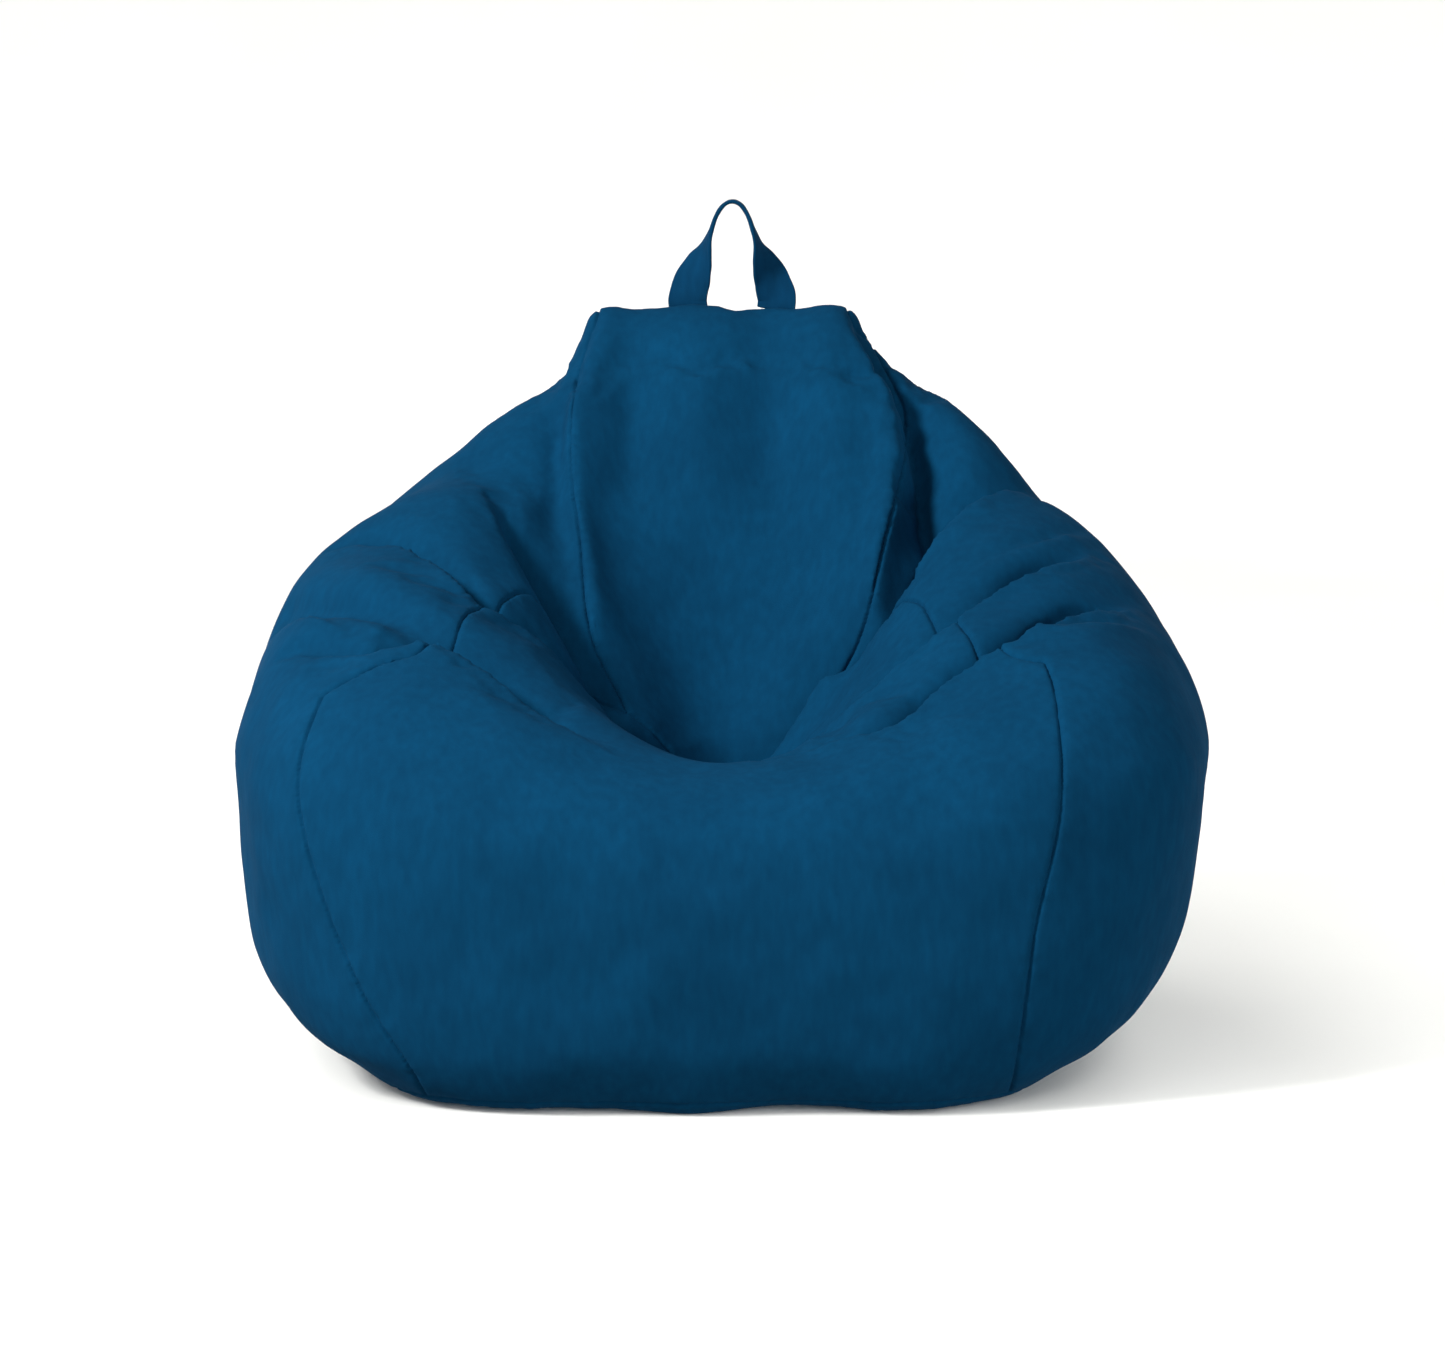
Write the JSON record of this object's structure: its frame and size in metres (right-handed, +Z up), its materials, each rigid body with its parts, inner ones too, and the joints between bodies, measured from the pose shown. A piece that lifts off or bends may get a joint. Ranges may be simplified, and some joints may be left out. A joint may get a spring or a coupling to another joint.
{
  "type": "bean bag chair",
  "caption": "Teardrop bean bag chair in plain blue cloth, with a carry loop at the crown, a rear zip, an inner liner with its own zip, and a fill of foam beads.",
  "frame": {"origin": "on the floor under the middle of the chair", "axes": "+Z up, the chair faces -Y, +X to the sitter's left as they face -Y"},
  "size_m": [0.9934, 0.976, 0.8391],
  "materials": {
    "cover_cloth": "blue suede-like woven microfibre, matt",
    "loop_cloth": "doubled cover cloth, matt",
    "label_cloth": "woven satin ribbon, blank",
    "zip_tape": "dyed polyester tape",
    "zip_coil": "dyed nylon monofilament",
    "zip_metal": "die-cast, nickel plated, satin",
    "liner_cloth": "undyed light polyester",
    "liner_zip_tape": "undyed polyester tape",
    "liner_zip_coil": "undyed nylon",
    "liner_zip_metal": "die-cast, plain",
    "beads": "expanded polystyrene beads"
  },
  "bodies": {
    "chair": {"front_panel": "cover_cloth", "backrest_panel": "cover_cloth", "side_panel_left": "cover_cloth", "side_panel_right": "cover_cloth", "rear_panel_left": "cover_cloth", "rear_panel_right": "cover_cloth", "base_panel": "cover_cloth", "loop_patch": "cover_cloth", "care_label": "label_cloth", "zip_tape_left": "zip_tape", "zip_coil_left": "zip_coil", "liner_left": "liner_cloth", "liner_zip_tape_left": "liner_zip_tape", "liner_zip_coil_left": "liner_zip_coil", "zip_tape_right": "zip_tape", "zip_coil_right": "zip_coil", "liner_right": "liner_cloth", "liner_zip_tape_right": "liner_zip_tape", "liner_zip_coil_right": "liner_zip_coil", "zip_top_stops": "zip_metal", "zip_bottom_stop": "zip_metal", "liner_zip_top_stops": "liner_zip_metal", "liner_zip_bottom_stop": "liner_zip_metal", "bead_fill": "beads"},
    "loop": {"carry_loop": "loop_cloth"},
    "slider": {"zip_slider": "zip_metal"},
    "pull": {"zip_pull": "zip_metal"},
    "liner_slider": {"liner_zip_slider": "liner_zip_metal"}
  },
  "joints": [
    {"name": "loop_flop", "type": "hinge", "parent": "chair", "child": "loop", "pos_m": [0.012, 0.2684, 0.73311], "axis": [1, 0, 0], "range_deg": [-75, 75]},
    {"name": "zip_slide", "type": "slide", "parent": "chair", "child": "slider", "axis": [0, 0.4038, -0.9149], "range_m": [0, 0.314]},
    {"name": "pull_swing", "type": "hinge", "parent": "slider", "child": "pull", "pos_m": [0, 0.31821, 0.66579], "axis": [1, 0, 0], "range_deg": [0, 165]},
    {"name": "liner_zip_slide", "type": "slide", "parent": "chair", "child": "liner_slider", "axis": [0, 0.4038, -0.9149], "range_m": [0, 0.24]}
  ]
}
